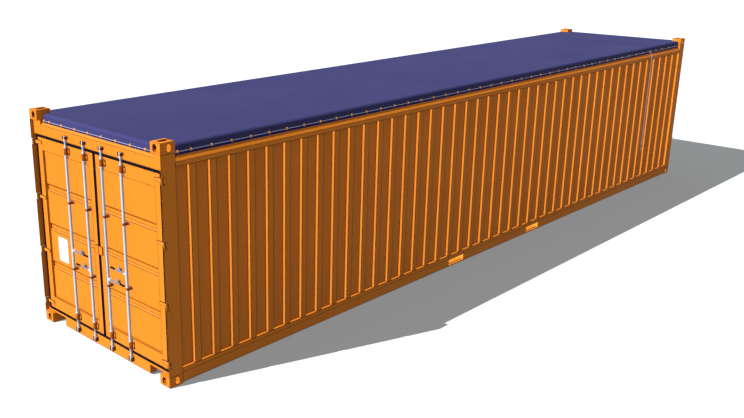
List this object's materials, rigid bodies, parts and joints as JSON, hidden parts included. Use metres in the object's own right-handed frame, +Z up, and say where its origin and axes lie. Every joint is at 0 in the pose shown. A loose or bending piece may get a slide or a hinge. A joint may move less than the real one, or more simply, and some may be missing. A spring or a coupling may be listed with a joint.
{
  "type": "open-top shipping container",
  "caption": "Forty foot open-top shipping container with corrugated walls, two hinged end doors with lock bars and handles, and a roped tarpaulin roof on bows.",
  "frame": {"origin": "centre of the container at ground level, on the plane of the bottom castings", "axes": "+X along the length towards the closed end, doors at -X, +Y towards the left side seen from the doors, +Z up"},
  "size_m": [12.192, 2.454, 2.591],
  "materials": {
    "casting_steel": "satin paint over cast steel",
    "catch_steel": "galvanised",
    "floor_plywood": "sealed plywood",
    "galvanised_steel": "galvanised",
    "gasket_rubber": "matt",
    "grip_rubber": "matt",
    "painted_steel": "satin paint",
    "plate_white": "gloss",
    "rope": "braided rope",
    "tarpaulin_cloth": "coated cloth"
  },
  "bodies": {
    "frame": {"bar_keepers": "painted_steel", "bottom_corner_castings": "casting_steel", "crossmembers": "painted_steel", "door_header": "painted_steel", "door_sill": "painted_steel", "floor_boards": "floor_plywood", "fork_pockets": "painted_steel", "front_corner_posts": "painted_steel", "front_header": "painted_steel", "front_sill": "painted_steel", "front_wall": "painted_steel", "hinge_lugs": "painted_steel", "left_bottom_rail": "painted_steel", "left_door_post": "painted_steel", "left_side_wall": "painted_steel", "left_top_rail": "painted_steel", "pocket_mouths": "painted_steel", "right_bottom_rail": "painted_steel", "right_door_post": "painted_steel", "right_side_wall": "painted_steel", "right_top_rail": "painted_steel", "roof_bows": "painted_steel", "rope_tail": "rope", "tarp_rope": "rope", "tarpaulin": "tarpaulin_cloth", "top_corner_castings": "casting_steel"},
    "door_left": {"document_plate": "plate_white", "left_bar_brackets": "painted_steel", "left_door_frame": "painted_steel", "left_door_gasket": "gasket_rubber", "left_door_hinges": "painted_steel", "left_door_panel": "painted_steel", "left_handle_catches": "catch_steel", "left_seam_plate": "painted_steel"},
    "door_right": {"right_bar_brackets": "painted_steel", "right_door_frame": "painted_steel", "right_door_gasket": "gasket_rubber", "right_door_hinges": "painted_steel", "right_door_panel": "painted_steel", "right_handle_catches": "catch_steel", "right_seam_plate": "painted_steel"},
    "lock_bar_1": {"lock_bar_1": "galvanised_steel"},
    "handle_1": {"handle_1": "galvanised_steel", "handle_grip_1": "grip_rubber"},
    "lock_bar_2": {"lock_bar_2": "galvanised_steel"},
    "handle_2": {"handle_2": "galvanised_steel", "handle_grip_2": "grip_rubber"},
    "lock_bar_3": {"lock_bar_3": "galvanised_steel"},
    "handle_3": {"handle_3": "galvanised_steel", "handle_grip_3": "grip_rubber"},
    "lock_bar_4": {"lock_bar_4": "galvanised_steel"},
    "handle_4": {"handle_4": "galvanised_steel", "handle_grip_4": "grip_rubber"}
  },
  "joints": [
    {"name": "door_left_hinge", "type": "hinge", "parent": "frame", "child": "door_left", "pos_m": [-6.081, 1.204, 1.2275], "axis": [0, 0, 1], "range_deg": [-265, 0]},
    {"name": "door_right_hinge", "type": "hinge", "parent": "frame", "child": "door_right", "pos_m": [-6.081, -1.204, 1.2275], "axis": [0, 0, -1], "range_deg": [-265, 0]},
    {"name": "lock_bar_1_turn", "type": "hinge", "parent": "door_left", "child": "lock_bar_1", "pos_m": [-6.077, 0.522, 1.2275], "axis": [0, 0, -1], "range_deg": [0, 100]},
    {"name": "lock_bar_2_turn", "type": "hinge", "parent": "door_left", "child": "lock_bar_2", "pos_m": [-6.077, 0.168, 1.2275], "axis": [0, 0, 1], "range_deg": [0, 100]},
    {"name": "lock_bar_3_turn", "type": "hinge", "parent": "door_right", "child": "lock_bar_3", "pos_m": [-6.077, -0.168, 1.2275], "axis": [0, 0, -1], "range_deg": [0, 100]},
    {"name": "lock_bar_4_turn", "type": "hinge", "parent": "door_right", "child": "lock_bar_4", "pos_m": [-6.077, -0.522, 1.2275], "axis": [0, 0, 1], "range_deg": [0, 100]},
    {"name": "handle_1_lift", "type": "hinge", "parent": "lock_bar_1", "child": "handle_1", "pos_m": [-6.077, 0.488, 1.064], "axis": [-1, 0, 0], "range_deg": [0, 18]},
    {"name": "handle_2_lift", "type": "hinge", "parent": "lock_bar_2", "child": "handle_2", "pos_m": [-6.077, 0.202, 0.913], "axis": [1, 0, 0], "range_deg": [0, 18]},
    {"name": "handle_3_lift", "type": "hinge", "parent": "lock_bar_3", "child": "handle_3", "pos_m": [-6.077, -0.202, 0.913], "axis": [-1, 0, 0], "range_deg": [0, 18]},
    {"name": "handle_4_lift", "type": "hinge", "parent": "lock_bar_4", "child": "handle_4", "pos_m": [-6.077, -0.488, 1.064], "axis": [1, 0, 0], "range_deg": [0, 18]}
  ]
}
